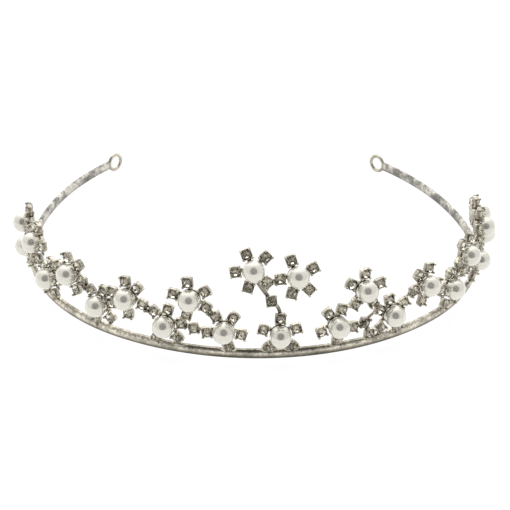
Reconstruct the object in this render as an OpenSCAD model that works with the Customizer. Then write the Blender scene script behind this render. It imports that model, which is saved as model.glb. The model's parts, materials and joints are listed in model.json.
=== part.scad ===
// A bridal tiara: a half-round band that carries a screen of pearl flowers, each a
// pearl in a dished seat with five claw-set rhinestones round it, and a small flower
// crest on a wire stem. Small rings close the two ends, for a ribbon or hair pins.
//
// X runs across the head, +Y runs back over the head and +Z is up, in millimetres.
// The tiara lies on Z = 0 by its end rings, and the band is level above that.
// A place on the band is its distance along the band from the middle of the
// forehead, negative on the left of someone who faces the tiara.

/* [Band] */
// Height of the band wire
band_height = 2.8; // [2:0.1:5]
// Thickness of the band wire, from its flat inner face to its rounded outer face
band_thickness = 1.5; // [1.2:0.1:3]
// How much of that thickness is square, behind the rounded part
band_flat = 0.9; // [0.5:0.1:2]
// Bend radius across the forehead
front_radius = 78; // [60:1:100]
// Length of the forehead bend, from the middle to each side
front_length = 48; // [36:1:60]
// Bend radius round the temples
side_radius = 60.5; // [45:0.5:75]
// Length of each temple bend
side_length = 61; // [45:1:75]
// Bend radius of the arms behind the temples
arm_radius = 88; // [60:1:200]
// Length of the left arm, from the temple bend to the middle of its ring
left_arm = 65; // [40:1:90]
// Length of the right arm, from the temple bend to the middle of its ring
right_arm = 56; // [40:1:90]

/* [End rings] */
// Radius of the hole in each ring
ring_hole = 2.3; // [1.5:0.1:5]
// Thickness of the ring wire
ring_wire = 1.2; // [0.8:0.1:2.5]
// Depth of the flat worn round the inside of the ring
ring_wear = 0.15; // [0.1:0.05:0.3]

/* [Pearls] */
// Diameter of each pearl
pearl_diameter = 6; // [4:0.25:8]
// Radius of the dished seat behind each pearl
seat_radius = 2.8; // [2:0.1:4]
// Radius of the peg that each half-drilled pearl is glued on
peg_radius = 0.45; // [0.3:0.05:0.8]
// Gap for glue between the peg and the drilled pearl
glue_gap = 0.05; // [0.02:0.01:0.15]

/* [Rhinestones] */
// Diameter of each rhinestone
stone_diameter = 2.8; // [2:0.1:4]
// Wall of the cup that holds a rhinestone
cup_wall = 0.15; // [0.1:0.05:0.4]
// Thickness of each claw
claw_diameter = 0.56; // [0.4:0.02:0.8]
// Diameter of the rounded tip of each claw
claw_tip = 0.76; // [0.5:0.02:1]
// Gap between a pearl and the cups round it
petal_gap = 0.25; // [0.1:0.05:1]

/* [Screen of flowers] */
// How far the flowers lean back from upright
screen_lean = 5; // [0:1:20]
// How far the two flowers of the crest lean back
crest_lean = 18; // [0:1:30]
// Thickness of the wire that bridges neighbouring flowers
bridge_wire = 0.8; // [0.5:0.05:1.2]
// Thickness of the wire stem under the crest
stem_wire = 0.9; // [0.6:0.05:1.5]

/* [Hidden] */
$fn = 48;
silver = [0.72, 0.70, 0.64];
bright_silver = [0.80, 0.79, 0.75];
pearl_white = [0.95, 0.94, 0.90];
crystal = [0.86, 0.88, 0.90];

// The stone: its heights above the back of the cup.
stone_radius = stone_diameter / 2;
culet = 0.2;
girdle = 1.3;
girdle_height = 0.3;
crown = 0.5;
stone_table = stone_radius * 0.57;
stone_top = girdle + girdle_height + crown;

// The setting: a cup with four claws at its corners.
cup_radius = stone_radius + cup_wall;
claw_place = stone_radius + claw_diameter / 2 + 0.02;
claw_foot = 0.9;
tip_place = claw_place - 0.08;
tip_height = stone_top - 0.1;

// The flower: its back is at height 0, and the pearl sits forward of that.
pearl_radius = pearl_diameter / 2;
petal_radius = pearl_radius + petal_gap + cup_radius;
dish_depth = 0.7;
pearl_height = pearl_radius - 0.2;
peg_top = pearl_height - 0.3;
tab_width = 1.2;
tab_back = 0.5;
tab_front = 0.1;
flower_back = 0.3;
bridge_height = 0.45;
// A block this size under the band's top takes in all of a flower's lower side.
below = 2 * (petal_radius + cup_radius);

// The flat top of the band, where the lowest settings are soldered down.
foot_width = 1.4;
foot_reach = 0.6;

ring_outer = ring_hole - ring_wear + ring_wire;
ring_bite = 0.5;
// The band is level, and its ends are soldered to the middle of each ring.
band_base = max(0, ring_outer - band_height / 2);
band_top = band_base + band_height;

// The lists below give places for a flower whose stones stand this far from its
// middle, in cups of this radius. Larger flowers or cups spread the places out.
listed_petal = 4.8;
listed_cup = 1.55;
spread = max(petal_radius / listed_petal, cup_radius / listed_cup);

// Each flower: its name, its place along the band, its height above the band's top
// (0 for one that is soldered to the band), and the angle of each of its stones.
flowers = [
    ["centre_flower", 0, 0, [90, 160, 230, 315, 20]],
    ["left_flower_1", -15, 0, [60, 120, 190, 285, 350]],
    ["left_flower_2", -24.5, 14.7, [100, 35, 170, 335, 260]],
    ["left_flower_3", -31.5, 0, [80, 15, 320, 240, 135]],
    ["left_flower_4", -43, 11.2, [100, 50, 175, 350, 275]],
    ["left_flower_5", -52.2, 0, [135, 75, 25, 325, 255]],
    ["left_flower_6", -63.6, 11.6, [115, 50, 355, 300, 175]],
    ["left_flower_7", -74, 0, [90, 160, 235, 305, 20]],
    ["left_flower_8", -84.6, 11.9, [90, 160, 230, 292, 15]],
    ["left_flower_9", -93, 0, [60, 120, 190, 270, 345]],
    ["left_flower_10", -104, 8.4, [90, 160, 230, 295, 20]],
    ["right_flower_1", 16, 0, [125, 75, 345, 270, 195]],
    ["right_flower_2", 24, 15.7, [90, 150, 10, 234, 300]],
    ["right_flower_3", 33, 0, [100, 150, 220, 295, 30]],
    ["right_flower_4", 45.5, 11.2, [130, 75, 185, 255, 345]],
    ["right_flower_5", 57, 0, [90, 165, 235, 305, 30]],
    ["right_flower_6", 66, 12.3, [60, 120, 190, 260, 345]],
    ["right_flower_7", 76, 0, [90, 160, 230, 300, 20]],
    ["right_flower_8", 83, 13.3, [90, 160, 217, 300, 20]],
    ["right_flower_9", 92, 0, [60, 130, 195, 270, 345]],
    ["right_flower_10", 102.5, 7.4, [90, 160, 245, 310, 20]],
    ["crest_left_flower", -7.5, 24, [115, 50, 185, 255, 320]],
    ["crest_right_flower", 4.5, 21.8, [110, 25, 310, 250, 185]],
];
crest_depth = 2.5 * spread;

// Each bridge joins a stone of one flower to a stone of another. A stone is given by
// its place in the flower's list of angles.
left_bridge_pairs = [
    [1, 1, 2, 3], [2, 4, 3, 1], [3, 4, 4, 3], [4, 2, 5, 2], [5, 0, 6, 2],
    [6, 4, 7, 0], [7, 1, 8, 3], [8, 2, 9, 0], [9, 1, 10, 4],
];
right_bridge_pairs = [
    [11, 1, 12, 3], [12, 4, 13, 1], [13, 4, 14, 2], [14, 4, 15, 1], [15, 4, 16, 2],
    [16, 4, 17, 1], [17, 4, 18, 2], [18, 3, 19, 1], [19, 4, 20, 2],
];
crest_bridge_pairs = [[21, 4, 22, 4]];

// Single stones between flowers: place along the band, height above its top, turn.
left_links = [[-23.4, 6, 10]];
right_links = [[24.3, 5.4, -15], [25.8, 1.7, 0]];
link_lean = screen_lean;

// The single stone on the crest's stem, by place along the band, height above its
// top, distance behind its middle and turn.
stem_link = [-2.5, 15, 1.6, 5];

function place(f) = f[1] * spread;
function rise(f) = f[2] * spread;
function link_place(l) = l[0] * spread;
function link_rise(l) = l[1] * spread;

// Where a bend of radius r and length l ends, when it starts at p with heading a.
function bend(p, a, r, l) =
    let (b = a + l / r * 180 / PI)
    [p + r * [sin(b) - sin(a), cos(a) - cos(b)], b];

function right_at(s) =
    let (front = bend([0, 0], 0, front_radius, min(s, front_length)))
    let (side_part = min(max(s - front_length, 0), side_length))
    let (side = bend(front[0], front[1], side_radius, side_part))
    bend(side[0], side[1], arm_radius, max(s - front_length - side_length, 0));

// The band's middle line at a place along it: the point and the heading there.
function band_at(s) =
    let (b = right_at(abs(s)))
    s < 0 ? [[-b[0].x, b[0].y], -b[1]] : b;

left_ring_place = front_length + side_length + left_arm;
right_ring_place = front_length + side_length + right_arm;

// The whole tiara stands with its box centred on the origin.
function far_end(s) = right_at(s)[0].y + ring_outer * sin(right_at(s)[1]);
front_end = -(pearl_height + pearl_radius - flower_back);
back_end = max(far_end(left_ring_place), far_end(right_ring_place));
centre_y = -(front_end + back_end) / 2;

function on_band(f) = f[2] == 0;
function is_crest(f) = f[0] == "crest_left_flower" || f[0] == "crest_right_flower";
function lean(f) = is_crest(f) ? crest_lean : screen_lean;
function drop(f) = -min([for (a = f[3]) petal_radius * sin(a)]);

// A flower on the band leans about its lowest stone, and its height follows.
function flower_height(f) =
    on_band(f) ? cup_radius + drop(f) * cos(lean(f)) : rise(f);
function flower_depth(f) =
    on_band(f) ? -flower_back - drop(f) * sin(lean(f))
    : is_crest(f) ? -crest_depth
    : -flower_back - (rise(f) - cup_radius) * tan(screen_lean);

// A point given by across, up and out, in a frame on the band's top at place s.
function world(s, p) =
    let (b = band_at(s), c = cos(b[1]), n = sin(b[1]))
    [b[0].x + p.x * c + p.z * n, centre_y + b[0].y + p.x * n - p.z * c, band_top + p.y];

function leaned(p, a) = [p.x, p.y * cos(a) + p.z * sin(a), p.z * cos(a) - p.y * sin(a)];

// The point at height h in the setting of stone k of a flower.
function stone_at(f, k, h) =
    let (a = f[3][k])
    let (p = leaned([petal_radius * cos(a), petal_radius * sin(a), h], lean(f)))
    world(place(f), p + [0, flower_height(f), flower_depth(f)]);

function link_depth(l) = -flower_back - (link_rise(l) - cup_radius) * tan(screen_lean);
function link_at(l, h) =
    world(link_place(l), leaned([0, 0, h], link_lean) + [0, link_rise(l), link_depth(l)]);
stem_link_seat = [0, link_rise(stem_link), -stem_link[2] * spread];
function stem_link_at(h) =
    world(link_place(stem_link), leaned([0, 0, h], crest_lean) + stem_link_seat);
function seat_at(f, p) =
    world(place(f), leaned(p, lean(f)) + [0, flower_height(f), flower_depth(f)]);

// Frames on the band: X along it, Y up from its top, Z outward.
module at_band(s) {
    b = band_at(s);
    translate([b[0].x, centre_y + b[0].y, band_top])
        rotate([90, 0, b[1]]) children();
}

module at_flower(f) {
    at_band(place(f)) translate([0, flower_height(f), flower_depth(f)])
        rotate([-lean(f), 0, 0]) children();
}

module at_stones(f) {
    at_flower(f)
        for (a = f[3]) rotate([0, 0, a]) translate([petal_radius, 0, 0]) children();
}

module at_link(l) {
    at_band(link_place(l)) translate([0, link_rise(l), link_depth(l)])
        rotate([-link_lean, 0, 0]) rotate([0, 0, l[2]]) children();
}

// A round wire from a to b.
module wire(a, b, d) {
    v = b - a;
    translate(a) rotate([0, acos(v.z / norm(v)), atan2(v.y, v.x)])
        cylinder(h = norm(v), d = d);
}

module band_profile() {
    bulge = band_thickness - band_flat;
    r = (pow(band_height / 2, 2) + pow(bulge, 2)) / (2 * bulge);
    translate([-band_thickness / 2, 0]) intersection() {
        square([band_thickness, band_height]);
        translate([band_thickness - r, band_height / 2]) circle(r);
    }
}

// One bend of the band, from the point and heading b.
module band_bend(b, r, l) {
    translate([b[0].x - r * sin(b[1]), b[0].y + r * cos(b[1]), 0])
        rotate([0, 0, b[1] - 90]) rotate_extrude(angle = l / r * 180 / PI)
        translate([r, 0]) band_profile();
}

module half_band(arm) {
    band_bend(right_at(0), front_radius, front_length);
    band_bend(right_at(front_length), side_radius, side_length);
    band_bend(right_at(front_length + side_length), arm_radius,
              arm - ring_outer + ring_bite);
}

module end_ring(s) {
    color(bright_silver)
        at_band(s) translate([0, -band_height / 2, 0]) rotate_extrude()
        intersection() {
            translate([ring_outer - ring_wire / 2, 0]) circle(d = ring_wire);
            translate([ring_hole, -ring_wire / 2]) square([ring_wire, ring_wire]);
        }
}

module left_end_ring() end_ring(-left_ring_place);
module right_end_ring() end_ring(right_ring_place);

module band() {
    color(silver) difference() {
        translate([0, centre_y, band_base]) {
            half_band(right_arm);
            mirror([1, 0, 0]) half_band(left_arm);
        }
        left_end_ring();
        right_end_ring();
    }
}

// The claw setting: a cup bored to the stone's cone, with four round-tipped claws.
module setting() {
    difference() {
        cylinder(h = girdle, r = cup_radius);
        translate([0, 0, culet])
            cylinder(h = girdle - culet, r1 = 0, r2 = stone_radius);
    }
    for (a = [45:90:315]) rotate([0, 0, a]) {
        translate([claw_place, 0, claw_foot])
            cylinder(h = tip_height - claw_foot, d = claw_diameter);
        translate([tip_place, 0, tip_height]) sphere(d = claw_tip);
    }
}

module stone() {
    rotate_extrude() polygon([
        [0, culet], [stone_radius, girdle], [stone_radius, girdle + girdle_height],
        [stone_table, stone_top], [0, stone_top],
    ]);
}

// The seat behind the pearl, with the peg, and a tab under each setting.
module pearl_seat(angles) {
    difference() {
        translate([0, 0, -dish_depth]) cylinder(h = dish_depth, r = seat_radius);
        translate([0, 0, pearl_height]) sphere(r = pearl_radius);
    }
    translate([0, 0, -dish_depth])
        cylinder(h = peg_top + dish_depth, r = peg_radius);
    tab_start = seat_radius - 0.5;
    tab_end = petal_radius - cup_radius / 2;
    for (a = angles) rotate([0, 0, a])
        translate([tab_start, -tab_width / 2, -tab_back])
        cube([tab_end - tab_start, tab_width, tab_back + tab_front]);
}

// The solder foot between the band's flat top and a stone near it.
module foot(f, a) {
    height = flower_height(f) + petal_radius * sin(a) * cos(lean(f));
    if (height < 2 * cup_radius)
        at_band(place(f))
            translate([petal_radius * cos(a) - foot_width / 2, 0, -foot_reach])
            cube([foot_width, height - 0.7 * cup_radius, foot_reach + 0.1]);
}

module flower_mount(f) {
    color(silver) {
        difference() {
            union() {
                at_stones(f) setting();
                at_flower(f) pearl_seat(f[3]);
            }
            if (on_band(f))
                at_band(place(f)) translate([-below, -below, -below])
                    cube([2 * below, below, 2 * below]);
        }
        if (on_band(f))
            for (a = f[3]) foot(f, a);
    }
}

module flower_pearl(f) {
    color(pearl_white) at_flower(f) difference() {
        translate([0, 0, pearl_height]) sphere(r = pearl_radius);
        translate([0, 0, -dish_depth])
            cylinder(h = peg_top + dish_depth + glue_gap, r = peg_radius + glue_gap);
    }
}

module flower_stones(list) {
    color(crystal) for (f = list) at_stones(f) stone();
}

module centre_stones() flower_stones([flowers[0]]);
module left_stones() flower_stones([for (i = [1:10]) flowers[i]]);
module right_stones() flower_stones([for (i = [11:20]) flowers[i]]);
module crest_stones() flower_stones([flowers[21], flowers[22]]);

module bridges(pairs) {
    for (p = pairs) {
        a = flowers[p[0]];
        b = flowers[p[2]];
        color(silver) difference() {
            wire(stone_at(a, p[1], bridge_height), stone_at(b, p[3], bridge_height),
                 bridge_wire);
            at_stones(a) cup_body();
            at_stones(b) cup_body();
        }
    }
}

// The cup's outer shape, which a bridge or the stem is cut to fit.
module cup_body() {
    cylinder(h = girdle, r = cup_radius);
}

// A wire from a single stone's setting to a stone of a flower, cut to fit both.
module link_bridge(l, f, k) {
    color(silver) difference() {
        wire(link_at(l, bridge_height), stone_at(f, k, bridge_height), bridge_wire);
        at_link(l) cup_body();
        at_stones(f) cup_body();
    }
}

module left_bridges() {
    bridges(left_bridge_pairs);
    link_bridge(left_links[0], flowers[1], 2);
    link_bridge(left_links[0], flowers[3], 1);
}

module right_bridges() {
    bridges(right_bridge_pairs);
    link_bridge(right_links[0], flowers[11], 2);
    link_bridge(right_links[0], flowers[13], 1);
}

module crest_bridge() bridges(crest_bridge_pairs);

module left_link_setting() {
    color(silver) for (l = left_links) at_link(l) setting();
}

// The two single settings on the right are soldered to each other.
module right_link_settings() {
    color(silver) {
        for (l = right_links) at_link(l) setting();
        difference() {
            wire(link_at(right_links[0], bridge_height),
                 link_at(right_links[1], bridge_height), bridge_wire);
            for (l = right_links) at_link(l)
                cylinder(h = girdle, r = cup_radius - cup_wall / 2);
        }
    }
}

module at_stem_link() {
    at_band(link_place(stem_link)) translate(stem_link_seat)
        rotate([-crest_lean, 0, 0]) rotate([0, 0, stem_link[3]]) children();
}

module link_stones() {
    color(crystal) {
        for (l = concat(left_links, right_links)) at_link(l) stone();
        at_stem_link() stone();
    }
}

// The stem: a wire up from the middle flower's top stone to a single setting, and
// one from there to the underside of the crest's left seat.
module crest_stem() {
    middle = flowers[0];
    crest = flowers[21];
    top_stone = 0;
    seat_rim = seat_at(crest, [0, 0.2 - seat_radius, -dish_depth / 2]);
    color(silver) {
        at_stem_link() setting();
        difference() {
            wire(stone_at(middle, top_stone, bridge_height),
                 stem_link_at(bridge_height), stem_wire);
            at_stones(middle) cup_body();
            at_stem_link() cylinder(h = girdle, r = cup_radius - cup_wall / 2);
        }
        difference() {
            wire(stem_link_at(bridge_height), seat_rim, stem_wire);
            at_flower(crest) translate([0, 0, -dish_depth])
                cylinder(h = dish_depth, r = seat_radius);
            at_stem_link() cylinder(h = girdle, r = cup_radius - cup_wall / 2);
        }
    }
}

band();
left_end_ring();
right_end_ring();
for (f = flowers) {
    flower_mount(f);
    flower_pearl(f);
}
centre_stones();
crest_stones();
left_stones();
right_stones();
link_stones();
left_link_setting();
right_link_settings();
crest_stem();
left_bridges();
right_bridges();
crest_bridge();
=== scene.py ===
# %% [markdown]
# # A bridal tiara
#
# The tiara is a half-round silver band with a screen of small flowers soldered along
# its front. Each flower is a pearl in a dished seat, ringed by five rhinestones in
# claw settings. Two more flowers stand above the middle on a wire stem. Here the
# exact solids of the frame give every size and place, and each piece is modelled
# again with the detail that a jeweller's bench gives it.

# %% Load the frame
import json
import random
from math import atan2, cos, pi, radians, sin

import bmesh
import bpy
import numpy as np
from mathutils import Matrix, Vector, noise

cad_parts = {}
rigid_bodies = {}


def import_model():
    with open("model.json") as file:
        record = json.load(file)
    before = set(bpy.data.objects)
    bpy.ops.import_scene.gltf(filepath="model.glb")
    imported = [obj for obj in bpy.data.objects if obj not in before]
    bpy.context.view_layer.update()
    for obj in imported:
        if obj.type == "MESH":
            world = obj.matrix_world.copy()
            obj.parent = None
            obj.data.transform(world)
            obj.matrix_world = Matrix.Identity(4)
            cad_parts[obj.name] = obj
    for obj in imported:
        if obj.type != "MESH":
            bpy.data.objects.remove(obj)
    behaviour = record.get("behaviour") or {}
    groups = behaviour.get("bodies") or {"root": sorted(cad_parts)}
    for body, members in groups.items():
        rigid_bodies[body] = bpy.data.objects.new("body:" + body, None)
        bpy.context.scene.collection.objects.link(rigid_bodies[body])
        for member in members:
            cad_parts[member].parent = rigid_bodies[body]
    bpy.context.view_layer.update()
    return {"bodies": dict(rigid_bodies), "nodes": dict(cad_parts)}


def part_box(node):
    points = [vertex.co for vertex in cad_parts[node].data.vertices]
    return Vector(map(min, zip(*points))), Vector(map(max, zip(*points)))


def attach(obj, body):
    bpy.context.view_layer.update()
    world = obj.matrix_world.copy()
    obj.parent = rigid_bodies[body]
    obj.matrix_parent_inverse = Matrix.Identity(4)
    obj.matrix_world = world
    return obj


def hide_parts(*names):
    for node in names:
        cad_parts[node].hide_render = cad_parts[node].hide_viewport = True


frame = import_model()
MM = 0.001
body = list(frame["bodies"])[0]

# %% [markdown]
# ## Camera
#
# The tiara is looked at from the front and a little to one side, from about thirty
# degrees up, with a lens a bit longer than normal. The camera is built from the angles
# and the distance, and then rolled slightly, as a hand-held camera is.

# %% Camera
AIM = Vector((-0.64, -4.06, 1.95)) * MM
AZIMUTH, ELEVATION, ROLL = radians(-6.68), radians(29.9), radians(1.45)
DISTANCE, LENS = 373.7 * MM, 83.34

away = Vector((sin(AZIMUTH) * cos(ELEVATION), -cos(AZIMUTH) * cos(ELEVATION), sin(ELEVATION)))
across = Vector((0, 0, 1)).cross(away).normalized()
up = away.cross(across)
camera = bpy.data.objects.new("camera", bpy.data.cameras.new("camera"))
bpy.context.scene.collection.objects.link(camera)
camera.data.lens = LENS
camera.data.clip_start = 10 * MM
turn = Matrix((across, up, away)).transposed() @ Matrix.Rotation(ROLL, 3, "Z")
camera.matrix_world = Matrix.Translation(AIM + away * DISTANCE) @ turn.to_4x4()
bpy.context.scene.camera = camera
bpy.context.scene.view_settings.view_transform = "Standard"
print("the camera stands", round(DISTANCE / MM), "mm from its aim")

# %% [markdown]
# ## Studio
#
# Pearls and polished metal show their surroundings more than their own colour, so the
# studio is a white light tent: an even white sky, brighter above and behind. The one dark place
# in a tent is the opening that the lens looks through, and every pearl mirrors it as a
# soft grey spot. The world shader makes that opening by comparing each direction with
# the direction of the lens, raised a little, because the opening is taller than the lens.

# %% Light tent
OPENING_ANGLE, OPENING_SOFT, OPENING_RAISE = radians(36), radians(9), radians(7)
TENT, OPENING = 1.0, 0.05
GLOW, GLOW_FROM, GLOW_TILT = 0.85, 0.55, radians(45)


def node(tree, kind, inputs=None, **settings):
    """Adds a shader node, sets its settings, and fills or links its inputs."""
    made = tree.nodes.new(kind)
    for name, value in settings.items():
        setattr(made, name, value)
    for key, value in (inputs or {}).items():
        if isinstance(value, bpy.types.NodeSocket):
            tree.links.new(value, made.inputs[key])
        else:
            made.inputs[key].default_value = value
    return made


world = bpy.data.worlds.new("light tent")
bpy.context.scene.world = world
world.use_nodes = True
tree = world.node_tree
tree.nodes.clear()
sky = node(tree, "ShaderNodeTexCoord").outputs["Generated"]
seen_from = ELEVATION + OPENING_RAISE
opening_way = (sin(AZIMUTH) * cos(seen_from), -cos(AZIMUTH) * cos(seen_from), sin(seen_from))
facing = node(tree, "ShaderNodeVectorMath", {0: sky, 1: opening_way}, operation="DOT_PRODUCT")
opening = node(
    tree,
    "ShaderNodeMapRange",
    {
        "Value": facing.outputs["Value"],
        "From Min": cos(OPENING_ANGLE + OPENING_SOFT),
        "From Max": cos(OPENING_ANGLE - OPENING_SOFT),
        "To Min": TENT,
        "To Max": OPENING,
    },
    interpolation_type="SMOOTHSTEP",
)
glow_way = (0, sin(GLOW_TILT), cos(GLOW_TILT))
height = node(tree, "ShaderNodeVectorMath", {0: sky, 1: glow_way}, operation="DOT_PRODUCT")
glow = node(
    tree,
    "ShaderNodeMapRange",
    {
        "Value": height.outputs["Value"],
        "From Min": GLOW_FROM,
        "From Max": 1.0,
        "To Min": 1.0,
        "To Max": 1.0 + GLOW,
    },
    interpolation_type="SMOOTHSTEP",
)
both = node(tree, "ShaderNodeMath", {0: opening.outputs[0], 1: glow.outputs[0]},
            operation="MULTIPLY")
background = node(tree, "ShaderNodeBackground", {"Strength": both.outputs[0]})
node(tree, "ShaderNodeOutputWorld", {"Surface": background.outputs[0]})


def soft_light(name, place, size, power):
    """A square area light that faces the tiara."""
    light = bpy.data.lights.new(name, "AREA")
    light.energy, light.size = power, size
    lamp = bpy.data.objects.new(name, light)
    bpy.context.scene.collection.objects.link(lamp)
    lamp.visible_glossy = False
    lamp.location = place
    lamp.rotation_euler = (AIM - Vector(place)).to_track_quat("-Z", "Y").to_euler()


soft_light("overhead_softbox", (0, 0.05, 0.6), 0.5, 1.6)

# %% [markdown]
# The table glows evenly, as a lit white table does, so the thin band leaves almost no
# shadow on it, and the pearls are lit from below as well as from above.

# %% Floor
FLOOR_REACH = 12
PAPER_SHADE, PAPER_GLOW = 0.1, 0.94
floor_mesh = bmesh.new()
bmesh.ops.create_grid(floor_mesh, x_segments=1, y_segments=1, size=FLOOR_REACH)
floor = bpy.data.objects.new("floor", bpy.data.meshes.new("floor"))
floor_mesh.to_mesh(floor.data)
floor_mesh.free()
bpy.context.scene.collection.objects.link(floor)
floor_paper = bpy.data.materials.new("lit white table")
floor_paper.use_nodes = True
paper = floor_paper.node_tree.nodes["Principled BSDF"]
paper.inputs["Base Color"].default_value = (PAPER_SHADE, PAPER_SHADE, PAPER_SHADE, 1)
paper.inputs["Roughness"].default_value = 0.9
paper.inputs["Specular IOR Level"].default_value = 0.1
paper.inputs["Emission Color"].default_value = (1, 1, 1, 1)
paper.inputs["Emission Strength"].default_value = PAPER_GLOW
floor.data.materials.append(floor_paper)
print("the table reaches", FLOOR_REACH, "m each way")

# %% [markdown]
# ## Metals
#
# The metal is silver plate that has been handled for years. Where fingers and hair rub,
# it stays pale. A ramp over how far a face looks up gives its tone and paints its light
# and shade: faces that look down are painted dark, darker greys are warmer, and on the
# band the ramp paints a highlight on faces that look a little up and shade above it.
# The plating was never smooth either: soldering left it finely pitted. A broad noise
# wears the tone, a finer pair breaks it up, and the same pair roughens and pits the
# surface. One recipe makes all five silvers, each with its own tones and painted shade.
# The band's painted light and shade change towards its sides, and its arms are a colder
# silver with darker stains.

# %% Aged silver with painted light and shade
def tone_and_shade_ramp(tree, level, tone_and_shade):
    """Warm-grey tone with painted light and shade, from faces that look down to faces that look
    up; darker is warmer.
    """
    ramp = node(tree, "ShaderNodeValToRGB", {0: level})
    stops = ramp.color_ramp.elements
    while len(stops) < len(tone_and_shade):
        stops.new(0.5)
    for stop, (at, tone) in zip(stops, tone_and_shade):
        stop.position = (at + 1) / 2
        stop.color = (tone, tone * (0.91 + 0.03 * tone), tone * (0.68 + 0.13 * tone), 1)
    return ramp.outputs[0]


WEAR, GRAIN = 240, 2600
SIDE_FROM, SIDE_TO = 18 * MM, 34 * MM
ARM_FROM, ARM_TO = -10 * MM, 15 * MM


def silver(name, tone_and_shade, roughness, pits, patch=900, mottle=0.55, side_tone_and_shade=None):
    """Plated silver. With tones and painted light for its sides, it also has colder, stained
    arms.
    """
    made = bpy.data.materials.new(name)
    made.use_nodes = True
    tree = made.node_tree
    shader = tree.nodes["Principled BSDF"]
    place = node(tree, "ShaderNodeTexCoord").outputs["Object"]
    patches = node(tree, "ShaderNodeTexNoise", {"Vector": place, "Scale": patch, "Detail": 4,
                                                "Roughness": 0.6}).outputs[0]
    specks = node(tree, "ShaderNodeTexNoise", {"Vector": place, "Scale": GRAIN, "Detail": 2,
                                               "Roughness": 0.6}).outputs[0]
    wear = node(tree, "ShaderNodeTexNoise", {"Vector": place, "Scale": WEAR,
                                             "Detail": 2}).outputs[0]
    uneven = node(tree, "ShaderNodeMath", {0: patches, 1: specks}, operation="ADD").outputs[0]
    normal = node(tree, "ShaderNodeNewGeometry").outputs["Normal"]
    upward = node(tree, "ShaderNodeSeparateXYZ", {0: normal}).outputs["Z"]
    shift = node(tree, "ShaderNodeMath", {0: uneven, 1: 0.16, 2: -0.16},
                 operation="MULTIPLY_ADD").outputs[0]
    level = node(tree, "ShaderNodeMath", {0: upward, 1: 0.5, 2: 0.5},
                 operation="MULTIPLY_ADD").outputs[0]
    moved = node(tree, "ShaderNodeMath", {0: level, 1: shift}, operation="ADD").outputs[0]
    # Painted light and shade: the tone follows how far each face looks up.
    tone_and_shade_colour = tone_and_shade_ramp(tree, moved, tone_and_shade)
    # Towards the band's sides, a second table paints their light and shade.
    if side_tone_and_shade:
        x = node(tree, "ShaderNodeSeparateXYZ", {0: place}).outputs["X"]
        across = node(tree, "ShaderNodeMath", {0: x}, operation="ABSOLUTE").outputs[0]
        aside = node(tree, "ShaderNodeMapRange", {"Value": across, "From Min": SIDE_FROM,
                                                  "From Max": SIDE_TO}).outputs[0]
        tone_and_shade_colour = node(tree, "ShaderNodeMix", {"Factor": aside, "A": tone_and_shade_colour,
                                             "B": tone_and_shade_ramp(tree, moved, side_tone_and_shade)},
                     data_type="RGBA").outputs["Result"]
    grime = node(tree, "ShaderNodeMapRange", {
        "Value": uneven, "From Min": 0.8, "From Max": 1.25, "To Min": 1.0 + mottle * 0.35,
        "To Max": 1.0 - mottle}).outputs[0]
    rubbed = node(tree, "ShaderNodeMapRange", {"Value": wear, "From Min": 0.35,
                                               "From Max": 0.65, "To Min": 0.65,
                                               "To Max": 1.2}).outputs[0]
    share = node(tree, "ShaderNodeMath", {0: grime, 1: rubbed}, operation="MULTIPLY").outputs[0]
    colour = node(tree, "ShaderNodeVectorMath", {0: tone_and_shade_colour, "Scale": share},
                  operation="SCALE").outputs[0]
    if side_tone_and_shade:
        y = node(tree, "ShaderNodeSeparateXYZ", {0: place}).outputs["Y"]
        behind = node(tree, "ShaderNodeMapRange", {"Value": y, "From Min": ARM_FROM,
                                                   "From Max": ARM_TO}).outputs[0]
        stains = node(tree, "ShaderNodeMapRange", {"Value": wear, "From Min": 0.44,
                                                   "From Max": 0.54, "To Min": 0.62,
                                                   "To Max": 1.0}).outputs[0]
        stained = node(tree, "ShaderNodeHueSaturation", {"Saturation": 0.62, "Value": stains,
                                                         "Color": colour}).outputs[0]
        colour = node(tree, "ShaderNodeMix", {"Factor": behind, "A": colour, "B": stained},
                      data_type="RGBA").outputs["Result"]
    tree.links.new(colour, shader.inputs["Base Color"])
    gloss = node(tree, "ShaderNodeMapRange", {
        "Value": uneven, "From Min": 0.75, "From Max": 1.25,
        "To Min": roughness, "To Max": roughness + 0.2})
    tree.links.new(gloss.outputs[0], shader.inputs["Roughness"])
    relief = node(tree, "ShaderNodeBump", {"Height": uneven, "Strength": 0.8,
                                           "Distance": pits * MM})
    tree.links.new(relief.outputs[0], shader.inputs["Normal"])
    shader.inputs["Metallic"].default_value = 1.0
    return made


# Each table pairs how far a face looks up, from -1 to 1, with its grey: the metal's tone with
# painted shade. The band's tables paint a highlight on faces that look a little up, with painted
# shade below it and on the upper rounding.
BAND_TONE_SHADE_AND_HIGHLIGHT = ((-1.0, 0.04), (-0.6, 0.05), (-0.25, 0.16), (0.05, 0.48), (0.3, 0.92),
              (0.52, 0.60), (0.74, 0.25), (1.0, 0.50))
SIDE_TONE_SHADE_AND_HIGHLIGHT = ((-1.0, 0.05), (-0.6, 0.07), (-0.3, 0.24), (0.0, 0.66), (0.3, 0.84),
              (0.6, 0.70), (1.0, 0.60))
SETTING_TONE_AND_SHADE = ((-1.0, 0.36), (0.0, 0.58), (0.5, 0.76), (1.0, 0.82))
SOLDER_TONE_AND_SHADE = ((-1.0, 0.30), (0.0, 0.72), (0.5, 0.86), (1.0, 0.80))
STEM_TONE_AND_SHADE = ((-1.0, 0.10), (0.0, 0.26), (0.6, 0.50), (1.0, 0.55))
RING_TONE_AND_SHADE = ((-1.0, 0.30), (0.0, 0.60), (0.6, 0.80), (1.0, 0.80))
band_silver = silver("aged silver band", BAND_TONE_SHADE_AND_HIGHLIGHT, 0.30, 0.05, side_tone_and_shade=SIDE_TONE_SHADE_AND_HIGHLIGHT)
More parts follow.
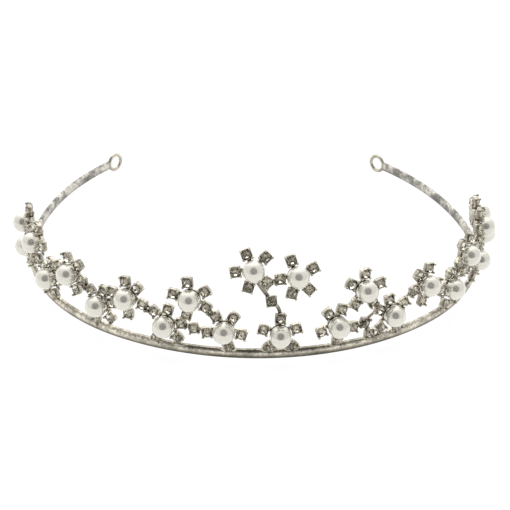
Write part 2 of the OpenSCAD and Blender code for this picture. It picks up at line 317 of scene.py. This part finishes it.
setting_silver = silver("aged silver settings", SETTING_TONE_AND_SHADE, 0.2, 0.03)
stem_silver = silver("tarnished stem", STEM_TONE_AND_SHADE, 0.28, 0.04)
ring_silver = silver("bright silver rings", RING_TONE_AND_SHADE, 0.22, 0.02, mottle=0.35)
solder_silver = silver("grey solder", SOLDER_TONE_AND_SHADE, 0.26, 0.08, patch=1200)
silvers = (band_silver, setting_silver, stem_silver, ring_silver, solder_silver)
print("silvers:", [material.name for material in silvers])

# %% [markdown]
# ## Pearl and rhinestone
#
# An imitation pearl is a bead under many coats of lustre, so about half of what it shows
# is a soft mirror image and the rest is cream. A low metallic value with a little
# roughness gives that depth. A rhinestone is clear glass with foil on its back facets:
# the front facets let the light in and the foil throws it back, so the stone needs two
# materials, and the facets do the rest.

# %% Pearl
def pearl_lustre():
    """Cream lustre: half a soft mirror, half its own cloudy colour."""
    made = bpy.data.materials.new("pearl lustre")
    made.use_nodes = True
    tree = made.node_tree
    shader = tree.nodes["Principled BSDF"]
    place = node(tree, "ShaderNodeTexCoord").outputs["Object"]
    cloud = node(tree, "ShaderNodeTexNoise", {"Vector": place, "Scale": 340, "Detail": 3})
    cream = node(tree, "ShaderNodeMix", {"Factor": cloud.outputs[0],
                                         "A": (0.875, 0.85, 0.765, 1),
                                         "B": (0.795, 0.77, 0.685, 1)}, data_type="RGBA")
    tree.links.new(cream.outputs["Result"], shader.inputs["Base Color"])
    skin = node(tree, "ShaderNodeBump", {"Height": cloud.outputs[0], "Strength": 0.3,
                                         "Distance": 0.02 * MM})
    tree.links.new(skin.outputs[0], shader.inputs["Normal"])
    shader.inputs["Metallic"].default_value = 0.55
    shader.inputs["Roughness"].default_value = 0.14
    shader.inputs["Coat Weight"].default_value = 0.5
    shader.inputs["Coat Roughness"].default_value = 0.06
    return made


pearl = pearl_lustre()
print("the pearls' material:", pearl.name)

# %% Rhinestone glass and foil
def stone_glass():
    """Clear glass with a trace of warmth."""
    made = bpy.data.materials.new("rhinestone glass")
    made.use_nodes = True
    shader = made.node_tree.nodes["Principled BSDF"]
    shader.inputs["Base Color"].default_value = (0.99, 0.985, 0.96, 1)
    shader.inputs["Roughness"].default_value = 0.0
    shader.inputs["IOR"].default_value = 1.56
    shader.inputs["Transmission Weight"].default_value = 1.0
    return made


def stone_foil():
    """The mirror foil on a stone's back facets, yellowed in patches."""
    made = bpy.data.materials.new("rhinestone foil")
    made.use_nodes = True
    tree = made.node_tree
    shader = tree.nodes["Principled BSDF"]
    place = node(tree, "ShaderNodeTexCoord").outputs["Object"]
    ageing = node(tree, "ShaderNodeTexNoise", {"Vector": place, "Scale": 420, "Detail": 2})
    worn = node(tree, "ShaderNodeMapRange", {"Value": ageing.outputs[0], "From Min": 0.4,
                                             "From Max": 0.65})
    tint = node(tree, "ShaderNodeMix", {"Factor": worn.outputs[0],
                                        "A": (0.95, 0.92, 0.82, 1),
                                        "B": (0.78, 0.73, 0.60, 1)}, data_type="RGBA")
    tree.links.new(tint.outputs["Result"], shader.inputs["Base Color"])
    shader.inputs["Metallic"].default_value = 1.0
    shader.inputs["Roughness"].default_value = 0.08
    return made


glass, foil = stone_glass(), stone_foil()
print("a stone's materials:", glass.name, "and", foil.name)

# %% [markdown]
# ## Making a piece
#
# Every piece is built in a bmesh, in millimetres, and written once: scaled to metres,
# tied to the tiara's one rigid body, and named as the stand-in for its plain solid.

# %% Helpers for pieces
SAME_PLACE = 0.001


def finish_piece(bm, name, materials, nodes, smooth=True):
    """Writes a bmesh in millimetres as a piece that replaces nodes of the frame."""
    bmesh.ops.scale(bm, vec=(MM, MM, MM), verts=bm.verts)
    for face in bm.faces:
        face.smooth = smooth
    mesh = bpy.data.meshes.new(name)
    bm.to_mesh(mesh)
    bm.free()
    for material in materials:
        mesh.materials.append(material)
    piece = bpy.data.objects.new(name, mesh)
    bpy.context.scene.collection.objects.link(piece)
    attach(piece, body)
    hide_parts(*nodes)
    return piece


def clean_up(bm):
    """Merges doubles and turns every face outwards."""
    bmesh.ops.remove_doubles(bm, verts=bm.verts, dist=SAME_PLACE)
    bmesh.ops.recalc_face_normals(bm, faces=bm.faces)


# %% [markdown]
# ## The band
#
# The band is one half-round wire, bent to the head: nearly round across the forehead,
# tighter at the temples and easing off down the arms. The section is a disc cut down to
# the wire's height and thickness, with its corners eased. Spinning that section about
# the middle of each bend in turn draws the whole wire, as bending it round a mandrel
# does.

# %% Bends of the band
FRONT_RADIUS, FRONT_LENGTH = 78, 48
SIDE_RADIUS, SIDE_LENGTH = 60.5, 61
ARM_RADIUS, LEFT_ARM, RIGHT_ARM = 88, 65, 56
BAND_HEIGHT, BAND_THICKNESS, BAND_FLAT = 2.8, 1.5, 0.9
RING_HOLE, RING_WIRE, RING_BITE, RING_WEAR = 2.3, 1.2, 0.5, 0.15
RING_OUTER = RING_HOLE + RING_WIRE - RING_WEAR
BENDS = ((FRONT_RADIUS, FRONT_LENGTH), (SIDE_RADIUS, SIDE_LENGTH),
         (ARM_RADIUS, max(LEFT_ARM, RIGHT_ARM)))
band_low = Vector(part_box("band")[0]) / MM
BAND_SHIFT = band_low.y + BAND_THICKNESS / 2
BAND_BASE = band_low.z
BAND_TOP = BAND_BASE + BAND_HEIGHT


def band_at(s):
    """The band's middle line at a place along it: its point and its heading."""
    left = abs(s)
    x = y = heading = 0.0
    for radius, length in BENDS:
        part = min(left, length)
        after = heading + part / radius
        x += radius * (sin(after) - sin(heading))
        y += radius * (cos(heading) - cos(after))
        heading, left = after, left - part
    side = -1 if s < 0 else 1
    return Vector((side * x, y + BAND_SHIFT, 0)), side * heading


print("the band's front is at y", round(BAND_SHIFT, 2), "and its base at", round(BAND_BASE, 2))


# %% Spin the band
SECTION_STEPS, CORNER_EASE, BEND_STEP = 72, 0.14, 1.6
ON_EDGE = 1e-4


def band_section():
    """The half-round section as one face, standing across the wire at its start."""
    bulge = BAND_THICKNESS - BAND_FLAT
    radius = ((BAND_HEIGHT / 2) ** 2 + bulge**2) / (2 * bulge)
    bm = bmesh.new()
    bmesh.ops.create_circle(bm, cap_ends=True, segments=SECTION_STEPS, radius=radius)
    bmesh.ops.translate(bm, verts=bm.verts, vec=(BAND_THICKNESS / 2 - radius, 0, 0))
    half = BAND_HEIGHT / 2
    cuts = (((0, half, 0), (0, 1, 0)), ((0, -half, 0), (0, -1, 0)),
            ((-BAND_THICKNESS / 2, 0, 0), (-1, 0, 0)))
    for point, normal in cuts:
        geometry = bm.verts[:] + bm.edges[:] + bm.faces[:]
        bmesh.ops.bisect_plane(bm, geom=geometry, plane_co=point, plane_no=normal,
                               clear_outer=True)
    corners = [v for v in bm.verts if abs(abs(v.co.y) - half) < ON_EDGE]
    corners = [v for v in corners if v.co.x < -BAND_THICKNESS / 2 + ON_EDGE or
               v.co.x > BAND_FLAT - BAND_THICKNESS / 2 - 0.05]
    bmesh.ops.bevel(bm, geom=corners, offset=CORNER_EASE, segments=3, profile=0.5,
                    material=-1, affect="VERTICES")
    return bm


def spin_band():
    """The whole wire: the section spun about the middle of each bend in turn."""
    left_end = FRONT_LENGTH + SIDE_LENGTH + LEFT_ARM - RING_OUTER + RING_BITE
    right_end = FRONT_LENGTH + SIDE_LENGTH + RIGHT_ARM - RING_OUTER + RING_BITE
    temple, arm = FRONT_LENGTH, FRONT_LENGTH + SIDE_LENGTH
    bm = band_section()
    point, heading = band_at(-left_end)
    stand = Matrix.Rotation(heading, 3, "Z") @ Matrix.Rotation(pi / 2, 3, "X")
    outward = Matrix.Rotation(-pi / 2, 3, "Y")
    bmesh.ops.transform(bm, matrix=(stand @ outward).to_4x4(), verts=bm.verts)
    bmesh.ops.translate(bm, verts=bm.verts,
                        vec=point + Vector((0, 0, BAND_BASE + BAND_HEIGHT / 2)))
    runs = ((-left_end, -arm, ARM_RADIUS), (-arm, -temple, SIDE_RADIUS),
            (-temple, temple, FRONT_RADIUS), (temple, arm, SIDE_RADIUS),
            (arm, right_end, ARM_RADIUS))
    last = bm.verts[:] + bm.edges[:] + bm.faces[:]
    for start, end, radius in runs:
        point, heading = band_at(start)
        middle = point + radius * Vector((-sin(heading), cos(heading), 0))
        steps = max(8, round((end - start) / BEND_STEP))
        made = bmesh.ops.spin(bm, geom=last, cent=middle, axis=(0, 0, 1),
                              angle=(end - start) / radius, steps=steps)
        last = made["geom_last"]
    clean_up(bm)
    return bm


band = finish_piece(spin_band(), "band_wire", [band_silver], ["band"])
print("the band has", len(band.data.polygons), "faces")

# %% [markdown]
# ## Reading the stones' places
#
# The frame's rhinestones are plain turned shapes, one closed solid each. Each solid
# tells where a stone stands and which way it looks: its thinnest direction is its axis,
# and the pearl in the middle of its flower tells which side is the front and which way
# its square setting is turned. Working from the solids keeps every claw and facet tied
# to the frame.

# %% Stones from the frame
STONE_NODES = ("centre_stones", "crest_stones", "left_stones", "right_stones", "link_stones")
CULET, STONE_TOP = 0.2, 2.1
STONE_RADIUS, CUP_RADIUS = 1.4, 1.55


def solids_of(name):
    """The separate solids of a node, each as an array of its points in millimetres.

    They come in the order of their middles, so that every run deals with them alike.
    """
    bm = bmesh.new()
    bm.from_mesh(frame["nodes"][name].data)
    bmesh.ops.remove_doubles(bm, verts=bm.verts, dist=SAME_PLACE * MM)
    bm.verts.index_update()
    waiting, solids = set(bm.verts), []
    while waiting:
        seed = waiting.pop()
        group, edge = [seed], [seed]
        while edge:
            vert = edge.pop()
            for link in vert.link_edges:
                other = link.other_vert(vert)
                if other in waiting:
                    waiting.discard(other)
                    group.append(other)
                    edge.append(other)
        solids.append(np.array([v.co[:] for v in group]) / MM)
    bm.free()
    return sorted(solids, key=lambda points: tuple(points.mean(0)))


def stone_frame(points):
    """A stone's axis and the middle of its setting's back."""
    middle = points.mean(0)
    spread = np.linalg.eigh(np.cov((points - middle).T))
    axis = spread[1][:, 0]
    along = (points - middle) @ axis
    if -along.min() < along.max():
        axis, along = -axis, -along
    culet = middle + axis * along.min()
    return Vector(axis), Vector(culet - axis * CULET)


stones = []
for name in STONE_NODES:
    for points in solids_of(name):
        axis, back = stone_frame(points)
        stones.append({"node": name, "axis": axis, "back": back, "flower": None})
print("stones found:", len(stones))

# %% [markdown]
# A flower is five stones that share one plane and stand at one distance from their
# pearl. The pearl's place, its stones and the direction they face make the flower's
# own frame: Z out of the flower, with its origin in the middle of the flower's back.

# %% Flowers from the frame
PEARL_RADIUS, PEARL_HEIGHT, PETAL_RADIUS = 3.08, 2.8, 4.8
READING_ERROR = 0.08
FLOWERS = [n[: -len("_pearl")] for n in sorted(frame["nodes"]) if n.endswith("_pearl")]
flowers = {}
for name in FLOWERS:
    low, high = (Vector(p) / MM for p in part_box(name + "_pearl"))
    pearl_middle = (low + high) / 2
    petals = []
    for stone in stones:
        offset = pearl_middle - stone["back"]
        outward = offset.dot(stone["axis"])
        away_by = (offset - outward * stone["axis"]).length
        if max(abs(outward - PEARL_HEIGHT), abs(away_by - PETAL_RADIUS)) < READING_ERROR:
            petals.append(stone)
    axis = sum((p["axis"] for p in petals), Vector()).normalized()
    seat = pearl_middle - axis * PEARL_HEIGHT
    for petal in petals:
        petal["flower"] = name
        petal["out"] = (petal["back"] - seat).normalized()
    flowers[name] = {"axis": axis, "seat": seat, "pearl": pearl_middle, "petals": petals}
print("petals in each flower:", sorted({len(f["petals"]) for f in flowers.values()}))
singles = [s for s in stones if s["flower"] is None]
print("single stones:", len(singles))

# %% [markdown]
# The four single stones are turned to suit their neighbours. Their turn is measured
# from straight up, about the way each one faces.

# %% Turns of the single stones
SINGLE_TURNS = (10, 5, -15, 0)
for stone, angle in zip(sorted(singles, key=lambda s: s["back"].x), SINGLE_TURNS):
    upright = Vector((0, 0, 1)) - stone["axis"].z * stone["axis"]
    stone["out"] = Matrix.Rotation(radians(angle), 3, stone["axis"]) @ upright.normalized()


def frame_of(out, axis, origin):
    """The matrix of a frame with X along out and Z along axis."""
    out = (out - out.dot(axis) * axis).normalized()
    turn = Matrix((out, axis.cross(out), axis)).transposed()
    return Matrix.Translation(origin) @ turn.to_4x4()


# %% [markdown]
# Hand-soldered settings are never quite square to each other. A fixed seed turns and
# tips each one by a few degrees, always in the same way. The settings that stand on the
# band are also tipped forwards, where the solder pulled them down as it set.

# %% Small errors of the hand
random.seed(12)
TURN_ERROR, TIP_ERROR, FOOT_TIP = radians(5), radians(3.5), radians(8)
for stone in stones:
    error = (Matrix.Rotation(random.uniform(-TURN_ERROR, TURN_ERROR), 4, "Z")
             @ Matrix.Rotation(random.uniform(-TIP_ERROR, TIP_ERROR), 4, "X")
             @ Matrix.Rotation(random.uniform(-TIP_ERROR, TIP_ERROR), 4, "Y"))
    stone["place"] = frame_of(stone["out"], stone["axis"], stone["back"]) @ error
    stone["foot"] = stone["back"].z - BAND_TOP < 2 * CUP_RADIUS
    if stone["foot"]:
        along_band = Vector((0, 0, 1)).cross(-stone["axis"])
        hinge = Matrix.Translation(stone["back"])
        stone["place"] = (hinge @ Matrix.Rotation(-FOOT_TIP, 4, along_band) @ hinge.inverted()
                          @ stone["place"])
print("settings on the band:", sum(s["foot"] for s in stones))

# %% [markdown]
# ## The claw setting
#
# Each rhinestone stands in a stamped cup that is square in plan. Its four corners run
# up into claws, which bow outwards past the stone's widest line and are then pushed in
# over its edge. The cup is a spun wall whose corners are drawn out, and each claw is a
# tapered bar with a rounded tip.

# %% One setting
CUP_CORNER, CUP_SIDE = 1.74, 1.46
CUP_WALL = ((0.55, 0.0), (1.05, 0.02), (1.35, 0.18), (1.48, 0.5), (1.5, 1.0), (1.5, 1.56),
            (1.42, 1.62), (1.38, 1.3), (0.9, 0.85), (0.0, 0.3))
CLAW_PATH = ((1.28, 0.15), (1.66, 0.5), (1.80, 0.95), (1.85, 1.4), (1.84, 1.75), (1.74, 1.98))
CLAW_RADII = (0.24, 0.27, 0.28, 0.28, 0.29, 0.30)
CLAW_TIP = 0.38


def tube(bm, path, radii, sides=8):
    """A round bar along a path, made of rings bridged to each other."""
    rings = []
    for i, (point, radius) in enumerate(zip(path, radii)):
        before, after = path[max(i - 1, 0)], path[min(i + 1, len(path) - 1)]
        turn = (after - before).to_track_quat("Z", "Y").to_matrix().to_4x4()
        ends = i in (0, len(path) - 1)
        ring = bmesh.ops.create_circle(bm, cap_ends=ends, segments=sides, radius=radius,
                                       matrix=Matrix.Translation(point) @ turn)
        rings.append({e for v in ring["verts"] for e in v.link_edges})
    for one, two in zip(rings, rings[1:]):
        bmesh.ops.bridge_loops(bm, edges=list(one | two))


def spun(bm, profile, steps, matrix=Matrix.Identity(4)):
    """Turns a profile of (radius, height) points about Z, then places it."""
    before = set(bm.verts)
    verts = [bm.verts.new((r, 0, h)) for r, h in profile]
    edges = [bm.edges.new(pair) for pair in zip(verts, verts[1:])]
    bmesh.ops.spin(bm, geom=verts + edges, axis=(0, 0, 1), angle=2 * pi, steps=steps,
                   use_merge=True)
    made = [vert for vert in bm.verts if vert not in before]
    bmesh.ops.transform(bm, matrix=matrix, verts=made)
    return made


def make_setting():
    """A mesh of one claw setting, standing on its back with its stone's axis along Z."""
    bm = bmesh.new()
    for vert in spun(bm, CUP_WALL, 24):
        corner = abs(sin(2 * atan2(vert.co.y, vert.co.x))) ** 3
        share = 1 + (CUP_CORNER / CUP_SIDE - 1) * corner
        if vert.co.xy.length > 0.5:
            vert.co.x *= share
            vert.co.y *= share
    for quarter in range(4):
        turn = Matrix.Rotation(radians(45 + 90 * quarter), 3, "Z")
        path = [turn @ Vector((r, 0, h)) for r, h in CLAW_PATH]
        tube(bm, path, CLAW_RADII)
        bmesh.ops.create_uvsphere(bm, u_segments=10, v_segments=6, radius=CLAW_TIP,
                                  matrix=Matrix.Translation(path[-1]))
    clean_up(bm)
    mesh = bpy.data.meshes.new("setting_pattern")
    bm.to_mesh(mesh)
    bm.free()
    return mesh


setting_pattern = make_setting()
print("faces in a setting:", len(setting_pattern.polygons))


def add_pattern(bm, pattern, matrix):
    """Adds a copy of a pattern mesh at a place."""
    copy = pattern.copy()
    copy.transform(matrix)
    bm.from_mesh(copy)
    bpy.data.meshes.remove(copy)


# %% [markdown]
# ## The faceted stone
#
# A rhinestone of this kind has a flat table, a ring of star and kite facets round it,
# a thin girdle and a pointed back. A convex hull over the facets' corners cuts them all
# at once, as flat faces with sharp edges. The faces that look backwards carry the foil.

# %% One stone
# Each ring of corners: its radius, its height, how many corners and the first one's angle.
STONE_RINGS = ((0.78, STONE_TOP, 8, 22.5), (1.14, 1.90, 8, 0), (STONE_RADIUS, 1.62, 16, 0),
               (STONE_RADIUS, 1.34, 16, 0), (0.98, 0.90, 8, 22.5), (0.0, CULET, 1, 0))


def make_stone():
    """A mesh of one faceted stone: glass in front, foil on the faces that look back."""
    bm = bmesh.new()
    for radius, height, count, first in STONE_RINGS:
        for i in range(count):
            angle = radians(first + 360 * i / count)
            bm.verts.new((radius * cos(angle), radius * sin(angle), height))
    bmesh.ops.convex_hull(bm, input=bm.verts)
    bmesh.ops.dissolve_limit(bm, angle_limit=radians(1), verts=bm.verts, edges=bm.edges)
    bmesh.ops.recalc_face_normals(bm, faces=bm.faces)
    for face in bm.faces:
        face.material_index = 1 if face.normal.z < -0.05 else 0
    mesh = bpy.data.meshes.new("stone_pattern")
    bm.to_mesh(mesh)
    bm.free()
    return mesh


stone_pattern = make_stone()
print("facets on a stone:", len(stone_pattern.polygons))
for name in STONE_NODES:
    bm = bmesh.new()
    for stone in stones:
        if stone["node"] == name:
            add_pattern(bm, stone_pattern, stone["place"])
    finish_piece(bm, "faceted_" + name, [glass, foil], [name], smooth=False)

# %% [markdown]
# ## Flower mounts
#
# The mount of a flower is its five settings, a cup-shaped seat that the pearl is glued
# into, and a short bar from the seat to each setting. The seat is spun, and its lip
# closes round the back of the pearl. Where a setting touches the band, it stands on a
# post in a lump of solder.

# %% Flower mounts
SEAT = ((0.0, -0.7), (1.6, -0.7), (2.25, -0.4), (2.6, 0.1), (2.78, 0.7), (2.72, 0.8),
        (2.35, 0.5), (1.5, 0.02), (0.0, -0.3))
BAR_START, BAR_END, BAR_WIDTH, BAR_DEPTH = 2.2, 4.1, 1.2, 0.6
FOOT_LUMP, FOOT_LIFT, FOOT_FORWARD = (2.1, 0.78, 0.5), 0.12, 0.3
POST_WIDTH, POST_DEPTH, POST_BITE = 0.62, 0.6, 0.25


def add_bar(bm, matrix):
    """The short bar from a flower's seat to a setting, along the matrix's X."""
    made = bmesh.ops.create_cube(bm, size=1, matrix=matrix @ Matrix.Translation(
        ((BAR_START + BAR_END) / 2, 0, -0.2)) @ Matrix.Diagonal(
        (BAR_END - BAR_START, BAR_WIDTH, BAR_DEPTH, 1)))
    edges = list({e for v in made["verts"] for e in v.link_edges})
    bmesh.ops.bevel(bm, geom=edges, offset=0.15, segments=2, profile=0.5, material=-1,
                    affect="EDGES")


def add_lump(bm, place, radii, matrix=Matrix.Identity(4)):
    """A lump of solder: a ball, stretched and made uneven."""
    shape = Matrix.Translation(place) @ matrix @ Matrix.Diagonal((*radii, 1))
    made = bmesh.ops.create_icosphere(bm, subdivisions=3, radius=1)
    for vert in made["verts"]:
        swell = noise.noise(vert.co * 1.6 + place) * 0.3 + noise.noise(vert.co * 4 + place) * 0.1
        vert.co *= 1 + swell
    bmesh.ops.transform(bm, matrix=shape, verts=made["verts"])
    for face in {f for v in made["verts"] for f in v.link_faces}:
        face.material_index = 1


def band_place(point):
    """The place along the band nearest to a point, by halving."""
    side = -1 if point.x < 0 else 1
    low, high = 0.0, FRONT_LENGTH + SIDE_LENGTH + LEFT_ARM
    for _ in range(40):
        middle = (low + high) / 2
        on_band, heading = band_at(side * middle)
        ahead = Vector((cos(heading), sin(heading), 0)) * side
        if (point - on_band).dot(ahead) > 0:
            low = middle
        else:
            high = middle
    return side * low


feet = 0
for name, flower in flowers.items():
    bm = bmesh.new()
    flat = frame_of(flower["petals"][0]["out"], flower["axis"], flower["seat"])
    spun(bm, SEAT, 40, flat)
    for petal in flower["petals"]:
        add_bar(bm, frame_of(petal["out"], flower["axis"], flower["seat"]))
    clean_up(bm)
    for petal in flower["petals"]:
        add_pattern(bm, setting_pattern, petal["place"])
    for petal in flower["petals"]:
        if petal["foot"]:
            on_band, heading = band_at(band_place(petal["back"]))
            spot = Vector((on_band.x, on_band.y, BAND_TOP + FOOT_LIFT))
            spot += Vector((sin(heading), -cos(heading), 0)) * FOOT_FORWARD
            add_lump(bm, spot, FOOT_LUMP, Matrix.Rotation(heading, 4, "Z"))
            base = petal["place"] @ Vector((0, 0, 0.5))
            middle = (base + spot) / 2
            reach = (base - spot).length / 2 + POST_BITE
            stand = (base - spot).to_track_quat("Z", "Y").to_matrix().to_4x4()
            add_lump(bm, middle, (POST_WIDTH, POST_DEPTH, reach), stand)
            feet += 1
    bmesh.ops.recalc_face_normals(bm, faces=bm.faces)
    finish_piece(bm, name + "_setting", [setting_silver, solder_silver], [name + "_mount"])
print("solder feet:", feet)

# %% [markdown]
# ## Pearls
#
# Each pearl is a ball, glued in its seat. A thin rim of glue fills the corner between
# the pearl and the seat's lip, and has yellowed to brown.

# %% Pearls
glue = bpy.data.materials.new("aged glue")
glue.use_nodes = True
glue_tree = glue.node_tree
glue_shader = glue_tree.nodes["Principled BSDF"]
glue_place = node(glue_tree, "ShaderNodeTexCoord").outputs["Object"]
glue_cloud = node(glue_tree, "ShaderNodeTexNoise", {"Vector": glue_place, "Scale": 700})
glue_tint = node(glue_tree, "ShaderNodeMix", {
    "Factor": glue_cloud.outputs[0], "A": (0.16, 0.12, 0.06, 1), "B": (0.34, 0.28, 0.18, 1)},
    data_type="RGBA")
glue_tree.links.new(glue_tint.outputs["Result"], glue_shader.inputs["Base Color"])
glue_shader.inputs["Roughness"].default_value = 0.3

GLUE_RIM = ((2.55, 0.62), (2.76, 0.72), (2.74, 1.1), (2.4, 1.0), (2.55, 0.62))
for name, flower in flowers.items():
    bm = bmesh.new()
    flat = frame_of(flower["petals"][0]["out"], flower["axis"], flower["seat"])
    spun(bm, GLUE_RIM, 32, flat)
    for face in bm.faces:
        face.material_index = 1
    bmesh.ops.create_uvsphere(bm, u_segments=48, v_segments=28, radius=PEARL_RADIUS,
                              matrix=flat @ Matrix.Translation((0, 0, PEARL_HEIGHT)))
    clean_up(bm)
    finish_piece(bm, name + "_ball", [pearl, glue], [name + "_pearl"])
print("pearls:", len(flowers))

# %% [markdown]
# ## Single settings and the crest's stem
#
# A single stone has the same setting, with a spot of solder on its back. The crest's
# stem is one wire, bent by hand: it leaves the top of the middle flower, passes behind
# a single stone, and thickens towards the crest's seat, where it was hammered flat.

# %% Single settings
BACK_SPOT, LINK_WIRE = (0.9, 0.9, 0.3), (0.5, 0.4, 0.5)
STEM_THIN, STEM_SWELL = 0.5, 0.5
links = {"left_link_setting": [], "right_link_settings": [], "crest_stem": []}
for stone in singles:
    x = stone["back"].x
    key = "crest_stem" if abs(x) < 10 else ("left_link_setting" if x < 0 else
                                           "right_link_settings")
    links[key].append(stone)


def curved(points, steps=14):
    """A smooth path through the points."""
    path = []
    for i in range(len(points) - 1):
        p0, p1 = points[max(i - 1, 0)], points[i]
        p2, p3 = points[i + 1], points[min(i + 2, len(points) - 1)]
        for k in range(steps):
            t = k / steps
            path.append(0.5 * (2 * p1 + (p2 - p0) * t + (2 * p0 - 5 * p1 + 4 * p2 - p3) * t * t
                               + (3 * p1 - p0 - 3 * p2 + p3) * t**3))
    return path + [points[-1]]


for name, members in links.items():
    bm = bmesh.new()
    for stone in members:
        add_pattern(bm, setting_pattern, stone["place"])
        add_lump(bm, stone["place"] @ Vector((0, 0, -0.05)), BACK_SPOT,
                 stone["place"].to_quaternion().to_matrix().to_4x4())
    if name == "right_link_settings":
        a, b = (s["place"] @ Vector((0, 0, 0.5)) for s in members)
        tube(bm, [a, (a + b) / 2, b], LINK_WIRE)
    if name == "crest_stem":
        middle_flower, crest = flowers["centre_flower"], flowers["crest_left_flower"]
        top = max(middle_flower["petals"], key=lambda p: p["back"].z)
        start = top["place"] @ Vector((1.2, 0, 0.4))
        knot = members[0]["place"] @ Vector((0, 0, 0.25))
        away_from = frame_of(Vector((0.2, 0, -1)), crest["axis"], crest["seat"])
        end = away_from @ Vector((2.2, 0, -0.4))
        bow = (start + knot) / 2 + Vector((0.45, 0, 0.1))
        swing = (knot + end) / 2 + Vector((-0.15, 0, 0))
        path = curved([start, bow, knot, swing, end])
        radii = [STEM_THIN + STEM_SWELL * max(0, i / len(path) - 0.5) for i in range(len(path))]
        wire = set(bm.faces)
        tube(bm, path, radii, sides=12)
        for face in set(bm.faces) - wire:
            face.material_index = 2
    bmesh.ops.recalc_face_normals(bm, faces=bm.faces)
    finish_piece(bm, name + "_detailed", [setting_silver, solder_silver, stem_silver], [name])
print("single settings:", {name: len(members) for name, members in links.items()})

# %% [markdown]
# ## Bridges
#
# Neighbouring settings are joined by a bit of wire run over with solder, so each
# bridge is thick at its ends and thin in its middle. The plain bridges of the frame
# give the two ends.

# %% Bridges
BRIDGE_BITE = 0.25
BRIDGE_STOPS, BRIDGE_RADII = (-1.0, -0.6, -0.25, 0.25, 0.6, 1.0), (0.6, 0.5, 0.42, 0.42, 0.5, 0.6)
bridges = 0
for name in ("left_bridges", "right_bridges", "crest_bridge"):
    bm = bmesh.new()
    for points in solids_of(name):
        middle = points.mean(0)
        axis = np.linalg.eigh(np.cov((points - middle).T))[1][:, 2]
        along = (points - middle) @ axis
        reach = max(along.max(), -along.min()) + BRIDGE_BITE
        path = [Vector(middle + axis * reach * stop) for stop in BRIDGE_STOPS]
        tube(bm, path, BRIDGE_RADII, sides=10)
        bridges += 1
    bmesh.ops.recalc_face_normals(bm, faces=bm.faces)
    finish_piece(bm, name + "_soldered", [solder_silver], [name])
print("bridges:", bridges)

# %% [markdown]
# ## End rings
#
# Each end carries a ring of round wire, soldered edge-on to the band. A collar of solder
# hides the joint.

# %% End rings
COLLAR, COLLAR_BACK = (0.95, 0.72, 1.25), 0.1
for side, arm in (("left", LEFT_ARM), ("right", RIGHT_ARM)):
    node_name = side + "_end_ring"
    low, high = (Vector(p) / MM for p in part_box(node_name))
    middle = (low + high) / 2
    sign = -1 if side == "left" else 1
    heading = band_at(sign * (FRONT_LENGTH + SIDE_LENGTH + arm))[1]
    out = Vector((cos(heading), sin(heading), 0)) * sign
    axis = Vector((sin(heading), -cos(heading), 0))
    flat = frame_of(out, axis, middle)
    bm = bmesh.new()
    wire_middle = RING_OUTER - RING_WIRE / 2
    section = [(wire_middle + RING_WIRE / 2 * cos(a), RING_WIRE / 2 * sin(a))
               for a in (2 * pi * k / 16 for k in range(17))]
    spun(bm, section, 56, flat)
    clean_up(bm)
    joint = middle - out * (RING_OUTER + COLLAR_BACK)
    add_lump(bm, joint, COLLAR, Matrix.Rotation(heading, 4, "Z"))
    bmesh.ops.recalc_face_normals(bm, faces=bm.faces)
    finish_piece(bm, side + "_ring", [ring_silver, solder_silver], [node_name])
    print("the", side, "ring stands at", [round(v, 1) for v in middle])

# %% [markdown]
# ## Update
#
# The view layer is updated once more, so that every piece stands where it was placed.

# %% Update the view layer
bpy.context.view_layer.update()
